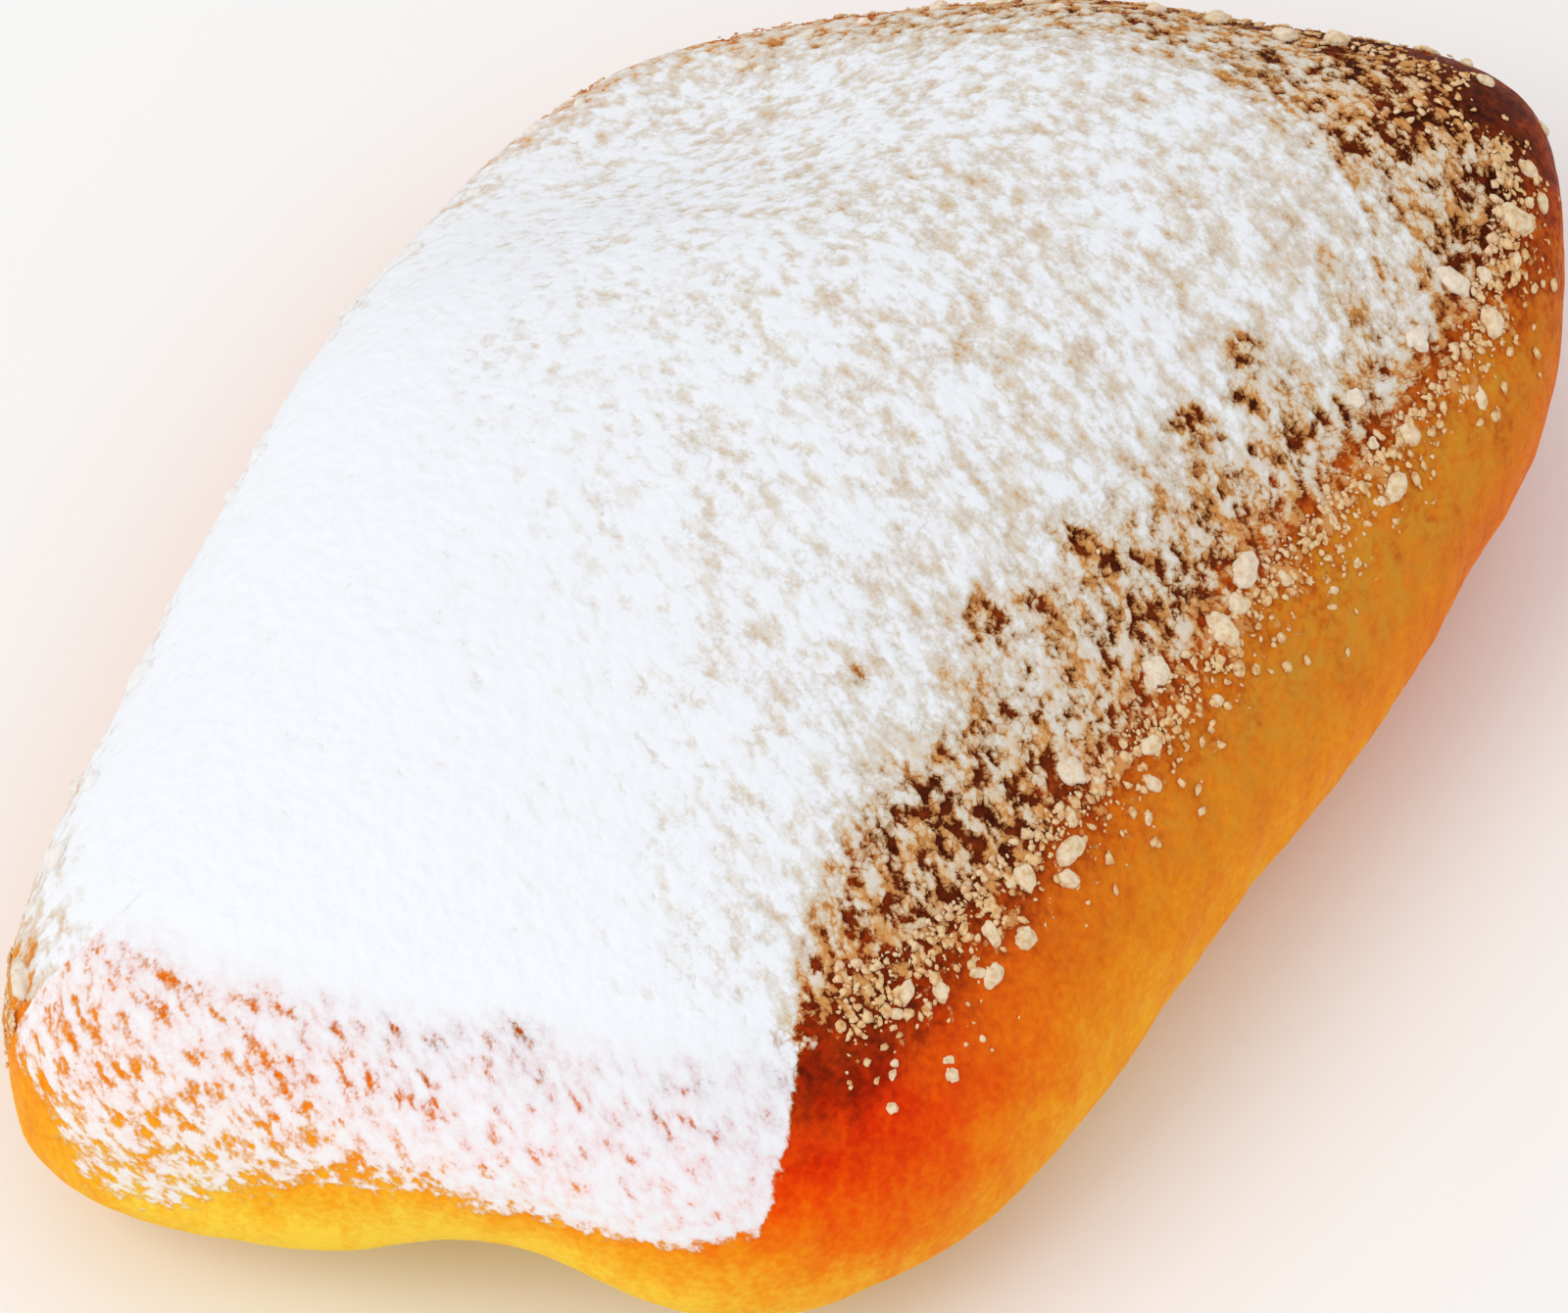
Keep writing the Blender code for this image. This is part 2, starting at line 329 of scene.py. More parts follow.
# Loose grains. Each of their bands has its first and last turn, its first and last reach, and the
# most grains that it can have.
GRAIN_SEED = 11
GRAIN_TRIES = 16  # places that are drawn for each grain, most of which are left empty
GRAIN_RADIUS = (0.00009, 0.00034)
GRAIN_SMALLNESS = 1.8  # above 1, most grains are nearer the smallest size
GRAIN_FLATNESS = 0.45  # height over width
GRAIN_STRETCH = (0.6, 1.6)  # how long each side of a grain is, as a share of its radius
GRAIN_KNOBS = (0.5, 1.25)  # how far out its corners are, as a share of it
GRAIN_CUTS = 1  # how finely its round shape is cut, where 1 leaves 12 corners
GRAIN_LIFT = 0.35  # how high its middle lies, as a share of its radius
GRAIN_SPREAD = 0.00013  # they grow fewer as the coat's mean thickness is this far from 0
GRAIN_BANDS = {
    "grains_bare_side": (2.0, 4.0, 0.70, 1.60, 1600),
    "grains_far_end": (4.0, 6.0, 0.65, 1.60, 360),
    "grains_back": (6.0, 8.0, 1.20, 1.95, 600),
}

# Lumps lie flat on the skin. Its normal comes from two places on the cube that are a step away, and
# their sides from that normal and a way that none of the normals follows.
FRAME_STEP = 0.004
LUMP_GUIDE = (0.31, 0.22, 0.93)

# The largest clumps of sugar, placed and stretched as the part has them
CLUMP_SEED = 7
CLUMP_COUNT = 84
CLUMP_RADIUS = (0.00036, 0.00085)
CLUMP_SMALLNESS = 1.4
CLUMP_STRETCH = 1.7
CLUMP_FLATNESS = 0.7
CLUMP_KNOBS = 0.35
CLUMP_SPAN = 0.92
CLUMP_CLIMB = 0.6
CLUMP_BANDS = {
    "bare side": ("y", -1.0, 0.60, 1.00, 0.58, 1.25),
    "back side": ("y", 1.0, 0.20, 0.60, 0.10, 1.0),
    "far end": ("x", 1.0, 0.20, 0.90, 0.40, 1.0),
}
CLUMP_PITS = 0.20  # their crags, which the part leaves out, as a share of the radius
CLUMP_PIT_SIZE = 0.00045
CLUMP_CUTS = 3  # how finely their round shape is cut
STRAY_COVER = 0.0012  # clumps shrink as the coat's mean thickness falls this far below 0
STRAY_SHRINK = 0.5  # the smallest share of its size that a clump can shrink to

# Where the coat's pieces meet on the crown, across and along the cube, and the lowest that each
# wall's cells can be
SEAM_ACROSS = -0.01
SEAM_ALONG = 0.0
NEAR_LOW = -0.3
FAR_LOW = 0.05
BACK_LOW = -0.3
BARE_LOW = 0.3

# The camera looks down on the near end and the bare side
VIEW_AZIMUTH = math.radians(-62.85)
VIEW_ELEVATION = math.radians(50.0)
VIEW_TARGET = Vector((-0.00211, -0.00141, 0.0120))
VIEW_DISTANCE = 0.670
LENS_MM = 274.2
SENSOR_MM = 36.0

SKY_STRENGTH = 0.82
KEY_WAY = Vector((-0.62, 0.30, 0.72)).normalized()
KEY_DISTANCE = 0.9
KEY_SIZE = 0.5
KEY_WATTS = 2.1
FLOOR_SIZE = 4.0
FLOOR_COLOURS = ((248, 248, 247), (251, 251, 250))
FLOOR_NOISE = (3.0, 2.0)
FLOOR_RANGE = (0.3, 0.7)  # from the first of its colours to the second


def between(first, last, share):
    """What lies this share of the way from the first value to the last."""
    return first + (last - first) * share


def share_of_way(value, start, full):
    """How far a value is on its way from start to full, from 0 to 1."""
    return np.clip((value - start) / (full - start), 0, 1)


def pillow(places):
    """The skin's points for places on the cube, before swells and flattening."""
    a, b, h = places.T
    rim = (np.abs(a) ** PLAN_POWER + np.abs(b) ** PLAN_POWER) ** (1 / PLAN_POWER)
    power = np.where(h > 0, SHOULDER_POWER, FOOT_POWER)
    shrink = (rim**power + np.abs(h) ** power) ** (1 / power)
    a, b, h = a / shrink, b / shrink, h / shrink
    up = np.maximum(h, 0.0)
    y = WIDTH / 2 * b * (1 + FLARE * a - SIDE_LEAN * up**2)
    x = LENGTH / 2 * a * (1 + END_SPLAY * up**2) + SKEW * y
    z = h * np.where(h > 0, SHOULDER_RISE, FOOT_DEPTH)
    z = z + CROWN_RISE * up * (1 - a * a) * (1 - b * b)
    return np.column_stack((x, y, z))


def outward(points):
    """The way out of the pillow at points near its skin."""
    way = points / np.array((LENGTH, WIDTH, 2 * SHOULDER_RISE)) ** 2
    return way / np.linalg.norm(way, axis=1)[:, None]


def noise_at(points, size, basis="PERLIN_ORIGINAL"):
    """A noise from about -1 to 1 at each point, with features of the size given."""
    return np.array([noise.noise(p, noise_basis=basis) for p in (points / size).tolist()])


def swollen(points):
    """Skin points moved by every swell and by the soft undulation."""
    ripple = noise_at(points, RIPPLE_SIZE) * RIPPLE_HEIGHT
    moved = points + ripple[:, None] * outward(points)
    for place, push, reach in SWELLS.values():
        middle = pillow(np.array([place]))
        away = (((points - middle) / reach) ** 2).sum(axis=1)
        moved += push * np.exp(-away)[:, None] * outward(middle)
    return moved


def sliced_cube(keep=None):
    """A cube of side 2 whose faces are cut into cells. Where keep is given, it picks those that stay."""
    skin = bmesh.new()
    bmesh.ops.create_cube(skin, size=2.0)
    for axis, count in enumerate(CELLS):
        across = Vector([float(i == axis) for i in range(3)])
        for cut in range(1, count):
            bmesh.ops.bisect_plane(
                skin,
                geom=skin.verts[:] + skin.edges[:] + skin.faces[:],
                plane_co=across * (2 * cut / count - 1),
                plane_no=across,
            )
    if keep:
        spare = [f for f in skin.faces if not keep(f.calc_center_median())]
        bmesh.ops.delete(skin, geom=spare, context="FACES")
    return skin


def finely_cut(skin, cuts):
    """The cube's mesh, with every cell cut again along both of its sides."""
    bmesh.ops.subdivide_edges(skin, edges=skin.edges[:], cuts=cuts, use_grid_fill=True)
    mesh = bpy.data.meshes.new("skin")
    skin.to_mesh(mesh)
    skin.free()
    return mesh


def points_of(mesh):
    """The places of a mesh's vertices, one a row."""
    points = np.empty(len(mesh.vertices) * 3, np.float32)
    mesh.vertices.foreach_get("co", points)
    return points.reshape(-1, 3).astype(float)


def set_points(mesh, points):
    """Moves a mesh's vertices to these places."""
    mesh.vertices.foreach_set("co", points.astype(np.float32).ravel())
    mesh.update()


def normals_of(mesh):
    """The way out of a mesh at each of its vertices."""
    normals = np.empty(len(mesh.vertices) * 3, np.float32)
    mesh.vertex_normals.foreach_get("vector", normals)
    return normals.reshape(-1, 3).astype(float)


def foot_shift():
    """What brings the swollen pillow onto the surface below, with its box's middle at the origin."""
    points = swollen(pillow(points_of(finely_cut(sliced_cube(), 0))))
    low, high = points.min(axis=0), points.max(axis=0)
    return np.array(((low[0] + high[0]) / 2, (low[1] + high[1]) / 2, low[2] + REST_CUT))


def skin_points(places):
    """Points of the resting pillow's skin for places on the cube."""
    points = swollen(pillow(places)) - SHIFT
    points[:, 2] = np.maximum(points[:, 2], 0.0)
    return points


def turn_and_reach(places):
    """Where places on the cube are round the plan, and how far from the crown's middle."""
    a, b, h = places.T
    wide = np.maximum(np.maximum(np.abs(a), np.abs(b)), TINY)
    a, b = a / wide, b / wide
    near, bare, far = a <= -ON_FACE, b <= -ON_FACE, a >= ON_FACE
    turn = np.select([near, bare, far], [1 - b, 3 + a, 5 + b], 7 - a)
    return turn, wide + (1 - h) * (h < ON_FACE)


def sugar_cover(places):
    """The coat's mean thickness before its relief, in metres. Below 0 it lies under the crust."""
    turn, reach = turn_and_reach(places)
    table = np.array(SUGAR_REACH)
    columns = [np.interp(turn, table[:, 0], table[:, i], period=8) for i in (1, 2, 3, 4)]
    start, edge, edge_coat, fall = columns
    full = np.interp(places[:, :2] @ THINNING_WAY, *COAT_ACROSS)
    full = between(full, np.interp(turn, *FILM_COATS), film_share(places))
    coat = between(full, edge_coat / 1000, share_of_way(reach, start, edge) ** COAT_CURVE)
    return coat - np.maximum(reach - edge, 0) * fall / 1000 + patches(skin_points(places), COAT_GAPS)


def film_share(places):
    """Where the sugar lies as a film, from 0 to 1."""
    turn, reach = turn_and_reach(places)
    first, last = FILM_TURNS
    return share_of_way(reach, *FILM_REACH) * ((turn >= first) & (turn <= last))


def drifted(points, stretch):
    """Points squeezed along the drift, so that noise at them comes out longer that way."""
    way = np.array(DRIFT)
    return points - np.outer(points @ way, way) * stretch


def lumps_at(points, size):
    """A noise of lumps upon lumps, each size about half of the one before."""
    seats = (points / size).tolist()
    return np.array([noise.fractal(seat, LUMP_ROUGHNESS, LUMP_STEP, LUMP_OCTAVES) for seat in seats])


def lace_share(cover):
    """How much the coat is broken up into lace, from 0 to 1."""
    return share_of_way(cover, LACE_START, LACE_FULL)


def sugar_relief(places, points, cover):
    """The sugar's drifts, lumps and granules, in metres, or its film's unevenness."""
    along = drifted(points, LUMP_STRETCH)
    lace = lace_share(cover)
    lump = between(*LUMP_HEIGHTS, lace)
    granule = between(*GRANULE_HEIGHTS, lace)
    relief = noise_at(along, DRIFT_SIZE) * DRIFT_HEIGHT + lumps_at(along, LUMP_SIZE) * lump
    relief -= noise_at(along, GRANULE_SIZE, "VORONOI_F1") * granule
    film = lumps_at(drifted(points, FILM_STRETCH), FILM_SIZE) * FILM_HEIGHT
    return between(relief, film, film_share(places))


def settled(depth, film):
    """The coat's thickness with the tops of its lumps pressed flatter, and sunk where it ends."""
    flatness = between(COAT_FLATNESS, FILM_FLATNESS, film)
    kept = between(COAT_FLATTENED, FILM_FLATTENED, film)
    thickness = np.minimum(depth, flatness) + np.maximum(depth - flatness, 0) * kept
    return np.maximum(thickness, -COAT_SINK)


def patches(points, named):
    """The sum of soft patches at points of the skin."""
    total = np.zeros(len(points))
    for place, amount, reach in named.values():
        middle = skin_points(np.array([place]))
        away = (((points - middle) / reach) ** 2).sum(axis=1)
        total += amount * np.exp(-away)
    return total


def add_attribute(mesh, name, values, highest=1.0):
    """Stores a value from 0 to highest at each vertex, for the shaders."""
    layer = mesh.attributes.new(name, "FLOAT", "POINT")
    layer.data.foreach_set("value", np.clip(values, 0, highest).astype(np.float32))


def baked(places):
    """How browned the crust is at places on the cube, before its soft unevenness."""
    turn, reach = turn_and_reach(places)
    turns = [row_turn for row_turn, _ in BAKE]
    columns = np.array([row for _, row in BAKE]).T
    across = np.stack([np.interp(turn, turns, column, period=8) for column in columns], axis=1)
    step = np.interp(reach, BAKE_REACHES, range(len(BAKE_REACHES)))
    lower = np.minimum(step.astype(int), len(BAKE_REACHES) - 2)
    each = np.arange(len(step))
    return between(across[each, lower], across[each, lower + 1], step - lower)


def colour_crust(mesh, places, points):
    """Stores browning, ruddiness (partly painted shade at the near corner) and dusting at each vertex.
    """
    unevenness = BAKE_UNEVENNESS * noise_at(points, BAKE_PATCH_SIZE)
    add_attribute(mesh, "browning", baked(places) + unevenness)
    add_attribute(mesh, "redness_and_shade", patches(points, REDNESS_AND_SHADE))
    add_attribute(mesh, "dusting", patches(points, DUSTING))


def crust_relief(points):
    """The bare crust's wrinkles and blisters, in metres."""
    relief = noise_at(points, WRINKLE_SIZE) * WRINKLE_HEIGHT
    return relief + noise_at(points, BLISTER_SIZE) * BLISTER_HEIGHT


def dressed(mesh, name, material):
    """A smooth piece of the beignet in its material, riding on the part."""
    mesh.name = name
    mesh.shade_smooth()
    mesh.materials.append(material)
    piece = bpy.data.objects.new(name, mesh)
    bpy.context.scene.collection.objects.link(piece)
    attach(piece, "root")
    return piece


def crust_surface(places, points, normals):
    """The crust's points: lower under the full coat, with relief where it is bare."""
    cover = sugar_cover(places)
    bare = np.clip(1 - cover / COAT, 0, 1)
    push = crust_relief(points) * bare - COAT_INSET * np.clip(cover / COAT, 0, 1)
    lifted = np.clip(points[:, 2] / FOOT_FADE, 0, 1)
    moved = points + normals * (push * lifted)[:, None]
    moved[:, 2] = np.maximum(moved[:, 2], 0.0)
    return moved


def build_crust(material):
    """The whole skin of fried dough, also where the sugar covers it."""
    mesh = finely_cut(sliced_cube(), CRUST_CUTS)
    places = points_of(mesh)
    points = skin_points(places)
    set_points(mesh, points)
    moved = crust_surface(places, points, normals_of(mesh))
    colour_crust(mesh, places, points)
    set_points(mesh, moved)
    return dressed(mesh, "crust", material)


def build_coat(name, keep, material):
    """One stretch of the sugar coat, over those of the cube's cells that keep picks."""
    mesh = finely_cut(sliced_cube(keep), SUGAR_CUTS)
    places = points_of(mesh)
    points = skin_points(places)
    set_points(mesh, points)
    normals = normals_of(mesh)
    cover = sugar_cover(places)
    film, lace = film_share(places), lace_share(cover)
    depth = cover + sugar_relief(places, points, cover)
    flat = np.maximum(film, LACE_FILM * lace)
    thickness = settled(depth, flat)
    moved = crust_surface(places, points, normals) + normals * thickness[:, None]
    moved[:, 2] = np.maximum(moved[:, 2], 0.0)
    colour_crust(mesh, places, points)
    add_attribute(mesh, "depth_mm", depth * 1000 * between(1, FILM_HIDING, flat))
    white = np.minimum(cover / WHITE_COVER, 1) + film * FILM_WHITENESS
    add_attribute(mesh, "white", white, FILM_WHITENESS)
    crack = between(*CRACK_DEPTHS, lace)
    add_attribute(mesh, "crack_mm", between(crack, FILM_CRACK_DEPTH, film))
    # Veins: cream, and partly painted shade of the wrinkles
    full, thin = VEIN_AND_SHADE_COVERS
    add_attribute(mesh, "veins_and_shade", (full - cover) / (full - thin) - film)
    set_points(mesh, moved)
    drop_sunken(mesh, thickness)
    return dressed(mesh, name, material)


def coat_stretches():
    """The coat's pieces, each with what tells its cells of the cube by their middles."""

    def on_back(at):
        return at.z > ON_FACE and at.y > SEAM_ACROSS

    def on_bare_side(at):
        return at.y < SEAM_ACROSS and (at.z > ON_FACE or at.y < -ON_FACE and at.z > BARE_LOW)

    return {
        "sugar_near_end": lambda at: at.x < -ON_FACE and at.z > NEAR_LOW,
        "sugar_far_end": lambda at: at.x > ON_FACE and at.z > FAR_LOW,
        "sugar_back_wall": lambda at: at.y > ON_FACE and at.z > BACK_LOW,
        "sugar_near_back": lambda at: on_back(at) and at.x < SEAM_ALONG,
        "sugar_far_back": lambda at: on_back(at) and at.x > SEAM_ALONG,
        "sugar_near_side": lambda at: on_bare_side(at) and at.x < SEAM_ALONG,
        "sugar_far_side": lambda at: on_bare_side(at) and at.x > SEAM_ALONG,
    }


def drop_sunken(mesh, thickness):
    """Removes the faces of a coat that lie wholly under the crust."""
    coat = bmesh.new()
    coat.from_mesh(mesh)
    sunken = thickness < -SUNKEN_DEPTH
    spare = [f for f in coat.faces if all(sunken[v.index] for v in f.verts)]
    bmesh.ops.delete(coat, geom=spare, context="FACES")
    coat.to_mesh(mesh)
    coat.free()


def lump_shape(cuts):
    """The vertices and triangles of a round lump of radius 1."""
    lump = bmesh.new()
    bmesh.ops.create_icosphere(lump, subdivisions=cuts, radius=1.0)
    corners = np.array([v.co for v in lump.verts])
    triangles = np.array([[v.index for v in f.verts] for f in lump.faces])
    lump.free()
    return corners, triangles


def joined_lumps(places, centres, normals, sizes, turns, knobs, cuts):
    """One mesh of many lumps, each flattened onto its normal, with its own knobs and whiteness."""
    corners, triangles = lump_shape(cuts)
    count, each = len(centres), len(corners)
    side = np.cross(normals, LUMP_GUIDE)
    side /= np.linalg.norm(side, axis=1)[:, None]
    other = np.cross(normals, side)
    u = side * np.cos(turns)[:, None] + other * np.sin(turns)[:, None]
    v = np.cross(normals, u)
    axes = np.stack((u, v, normals), axis=1) * sizes[:, :, None]
    spread = corners[None] * knobs[:, :, None]
    points = centres[:, None] + np.einsum("cvi,cij->cvj", spread, axes)
    faces = triangles[None] + (np.arange(count) * each)[:, None, None]
    mesh = bpy.data.meshes.new("lumps")
    mesh.from_pydata(points.reshape(-1, 3).tolist(), [], faces.reshape(-1, 3).tolist())
    white = np.repeat(sugar_cover(places) / LUMP_WHITE_COVER, each)
    add_attribute(mesh, "white", white)
    return mesh


def places_on_cube(turn, reach):
    """Places on the cube for turns round the plan and reaches from the crown's middle."""
    sides = [turn < 2, turn < 4, turn < 6]
    a = np.select(sides, [-1.0 + 0 * turn, turn - 3, 1.0 + 0 * turn], 7 - turn)
    b = np.select(sides, [1 - turn, -1.0 + 0 * turn, turn - 5], 1.0 + 0 * turn)
    wide = np.minimum(reach, 1.0)
    return np.column_stack((a * wide, b * wide, 1.0 - np.maximum(reach - 1.0, 0.0)))


def frames_at(places):
    """Points of the skin and its normals, at places on the cube."""
    points = skin_points(places)
    a, b, h = np.abs(places).T
    on_top = (h >= a) & (h >= b)
    on_end = ~on_top & (a >= b)
    first = np.where(on_end[:, None], (0, FRAME_STEP, 0), (FRAME_STEP, 0, 0))
    second = np.where(on_top[:, None], (0, FRAME_STEP, 0), (0, 0, FRAME_STEP))
    along = skin_points(places + first) - points
    across = skin_points(places + second) - points
    normals = np.cross(along, across)
    normals /= np.linalg.norm(normals, axis=1)[:, None]
    flip = np.sign((normals * outward(points - (0, 0, FOOT_DEPTH))).sum(axis=1))
    return points, normals * flip[:, None]


def build_grains(name, band, material):
    """Loose grains of sugar, thickest at the coat's edge and fewer further down the wall."""
    start, stop, inner, outer, count = band
    draw = np.random.default_rng(GRAIN_SEED + len(name))
    tries = (2, count * GRAIN_TRIES)
    turn, reach = draw.uniform(((start,), (inner,)), ((stop,), (outer,)), tries)
    places = places_on_cube(turn, reach)
    cover = sugar_cover(places)
    chance = np.exp(-np.abs(cover) / GRAIN_SPREAD) * (cover < GRAIN_COVER)
    places = places[draw.random(len(places)) < chance][:count]
    count = len(places)
    radii = between(*GRAIN_RADIUS, draw.random(count) ** GRAIN_SMALLNESS)
    points, normals = frames_at(places)
    stretch = draw.uniform(*GRAIN_STRETCH, (count, 2))
    sizes = np.column_stack((stretch * radii[:, None], radii * GRAIN_FLATNESS))
    corners, _ = lump_shape(GRAIN_CUTS)
    knobs = draw.uniform(*GRAIN_KNOBS, (count, len(corners)))
    raised = radii * GRAIN_LIFT + np.maximum(sugar_cover(places), 0)
    centres = points + normals * raised[:, None]
    centres[:, 2] = np.maximum(centres[:, 2], radii)
    turns = draw.uniform(0, math.tau, count)
    mesh = joined_lumps(places, centres, normals, sizes, turns, knobs, GRAIN_CUTS)
    return dressed(mesh, name, material)


def clump_places():
    """Where the part's clumps sit, as places on the cube, with their sizes."""
    draw = random.Random(CLUMP_SEED)
    smallest, largest = CLUMP_RADIUS
    places = []
    for axis, wall, share, high, low, gather in CLUMP_BANDS.values():
        count = round(CLUMP_COUNT * share)
        for i in range(count):
            along = CLUMP_SPAN * (2 * ((i + draw.random()) / count) ** gather - 1)
            height = low + (high - low) * draw.random() ** CLUMP_CLIMB
            radius = smallest + (largest - smallest) * draw.random() ** CLUMP_SMALLNESS
            stretch = draw.uniform(1.0, CLUMP_STRETCH)
            place = (wall, along, height) if axis == "x" else (along, wall, height)
            places.append((place, radius, stretch))
    return places


def build_clumps(material):
    """The largest clumps of sugar, with the crags that the part leaves out."""
    spots = clump_places()
    places = np.array([place for place, _, _ in spots])
    points, normals = frames_at(places)
    radii = np.array([radius for _, radius, _ in spots])
    stretch = np.array([stretch for _, _, stretch in spots])
    corners, _ = lump_shape(CLUMP_CUTS)
    knobs = np.ones((len(spots), len(corners)))
    for number, radius in enumerate(radii):
        seat = corners * radius + number
        pits = noise_at(seat, CLUMP_PIT_SIZE, "VORONOI_F1")
        knobs[number] += CLUMP_KNOBS * noise_at(seat, radius) - CLUMP_PITS * pits
    radii = radii * np.clip(1 + sugar_cover(places) / STRAY_COVER, STRAY_SHRINK, 1)
    sizes = np.column_stack((radii * stretch, radii, radii * CLUMP_FLATNESS))
    turns = np.arange(len(spots)) * 1.0
    mesh = joined_lumps(places, points, normals, sizes, turns, knobs, CLUMP_CUTS)
    return dressed(mesh, "clumps", material)


def linear(colour):
    """A display colour, from 0 to 255, as the linear one that a shader takes."""
    shares = [c / 255 for c in colour]
    return [s / 12.92 if s <= 0.04045 else ((s + 0.055) / 1.055) ** 2.4 for s in shares] + [1.0]


class Wiring:
    """Short calls for one material's nodes."""

    def __init__(self, name, roughness, specular):
        self.material = bpy.data.materials.new(name)
        self.material.use_nodes = True
        self.tree = self.material.node_tree
        self.shader = self.tree.nodes["Principled BSDF"]
        self.shader.inputs["Roughness"].default_value = roughness
        self.shader.inputs["Specular IOR Level"].default_value = specular
        self.coordinates = self.tree.nodes.new("ShaderNodeTexCoord").outputs["Object"]

    def put(self, socket, value):
        """Links a node's output to an input, or sets the input to a value."""
        if isinstance(value, bpy.types.NodeSocket):
            self.tree.links.new(value, socket)
        else:
            socket.default_value = value

    def attribute(self, name):
        node = self.tree.nodes.new("ShaderNodeAttribute")
        node.attribute_name = name
        return node.outputs["Fac"]

    def noise(self, scale, detail=3.0, roughness=0.55, way=DRIFT, stretch=0.0):
        """A noise of about this many features in a metre, stretched along a way."""
        node = self.tree.nodes.new("ShaderNodeTexNoise")
        node.inputs["Scale"].default_value = scale
        node.inputs["Detail"].default_value = detail
        node.inputs["Roughness"].default_value = roughness
        at = self.coordinates
        if stretch:
            along = self.vector("SCALE", tuple(way), self.dot(at, way * stretch))
            at = self.vector("SUBTRACT", at, along)
        self.tree.links.new(at, node.inputs["Vector"])
        return node.outputs["Fac"]

    def dot(self, first, second):
        node = self.tree.nodes.new("ShaderNodeVectorMath")
        node.operation = "DOT_PRODUCT"
        self.put(node.inputs[0], first)
        self.put(node.inputs[1], tuple(second))
        return node.outputs["Value"]

    def vector(self, operation, first, second):
        node = self.tree.nodes.new("ShaderNodeVectorMath")
        node.operation = operation
        self.put(node.inputs[0], first)
        self.put(node.inputs["Scale"] if operation == "SCALE" else node.inputs[1], second)
        return node.outputs["Vector"]

    def cracks(self, scale, waver, width):
        """1 in the cracks between crumbs and 0 inside each crumb."""
        wander = self.tree.nodes.new("ShaderNodeTexNoise")
        wander.inputs["Scale"].default_value = scale
        wander.inputs["Detail"].default_value = CRUMB_WAVER_DETAIL
        self.tree.links.new(self.coordinates, wander.inputs["Vector"])
        centred = self.vector("SUBTRACT", wander.outputs["Color"], (0.5, 0.5, 0.5))
        aside = self.vector("SCALE", centred, waver * 2)
        node = self.tree.nodes.new("ShaderNodeTexVoronoi")
        node.feature = "DISTANCE_TO_EDGE"
        node.inputs["Scale"].default_value = scale
        self.put(node.inputs["Vector"], self.vector("ADD", self.coordinates, aside))
        return self.ranged(node.outputs["Distance"], 0.0, width, 1.0, 0.0)

    def ranged(self, value, low, high, to_low=0.0, to_high=1.0):
        """A value with its low and high turned into two others, and held between them."""
        node = self.tree.nodes.new("ShaderNodeMapRange")
        ends = {"From Min": low, "From Max": high, "To Min": to_low, "To Max": to_high}
        for name, number in ends.items():
            node.inputs[name].default_value = number
        self.put(node.inputs["Value"], value)
        return node.outputs["Result"]

    def math(self, operation, first, second=0.0):
        node = self.tree.nodes.new("ShaderNodeMath")
        node.operation = operation
        self.put(node.inputs[0], first)
        self.put(node.inputs[1], second)
        return node.outputs["Value"]

    def ramp(self, value, stops):
        """The colour for a value, between the stops on its two sides."""
        node = self.tree.nodes.new("ShaderNodeValToRGB")
        ramp = node.color_ramp
        while len(ramp.elements) < len(stops):
            ramp.elements.new(0.5)
        for element, (at, _) in zip(ramp.elements, stops):
            element.position = at
        for element, (_, colour) in zip(ramp.elements, stops):
            element.color = linear(colour)
        self.put(node.inputs["Fac"], value)
        return node.outputs["Color"]

    def mix(self, share, first, second):
        node = self.tree.nodes.new("ShaderNodeMix")
        node.data_type = "RGBA"
        self.put(node.inputs["Factor"], share)
        self.put(node.inputs["A"], first)
        self.put(node.inputs["B"], second)
        return node.outputs["Result"]

    def bump(self, heights, distance, strength=1.0):
        node = self.tree.nodes.new("ShaderNodeBump")
        node.inputs["Distance"].default_value = distance
        node.inputs["Strength"].default_value = strength
        self.put(node.inputs["Height"], heights)
        self.tree.links.new(node.outputs["Normal"], self.shader.inputs["Normal"])


def crust_colour(wiring):
    """Fried dough's colour from browning, ruddiness with painted near-corner shade, dusting and
    mottling.
    """
    mottle = wiring.ranged(wiring.noise(*MOTTLE_NOISE), *MOTTLE_RANGE)
    fleck = wiring.ranged(wiring.noise(*FLECK_NOISE), *FLECK_RANGE)
    browning = wiring.math("ADD", wiring.attribute("browning"), wiring.math("ADD", mottle, fleck))
    golden = wiring.ramp(browning, GOLDEN)
    ruddy = wiring.ramp(browning, RUDDY)
    streak = wiring.ranged(wiring.noise(*RUDDY_NOISE), *RUDDY_RANGE)
    # Ruddiness, partly painted shade at the near corner
    redness_and_shade = wiring.attribute("redness_and_shade")
    ruddy_and_shade_share = wiring.math("MULTIPLY", redness_and_shade, wiring.math("ADD", streak, 1.0))
    crust = wiring.mix(ruddy_and_shade_share, golden, ruddy)
    patchy = wiring.ranged(wiring.noise(*DUST_NOISE), *DUST_RANGE)
    dusting = wiring.math("MULTIPLY", wiring.attribute("dusting"), patchy)
    dusting = wiring.math("MULTIPLY", dusting, wiring.ranged(browning, *DUST_FADE))
    return wiring.mix(dusting, crust, linear(DUST_COLOUR))


def crust_material():
    """Fried dough, with finely pitted skin."""
    wiring = Wiring("fried crust", *CRUST_SURFACE)
    wiring.put(wiring.shader.inputs["Base Color"], crust_colour(wiring))
    rough = wiring.ranged(wiring.noise(*CRUST_GLOSS_NOISE), *CRUST_GLOSS_RANGE)
    wiring.put(wiring.shader.inputs["Roughness"], rough)
    larger, smaller = CRUST_PIT_NOISES
    relief = wiring.math("ADD", wiring.noise(*larger), wiring.noise(*smaller))
    wiring.bump(relief, *CRUST_BUMP)
    return wiring.material


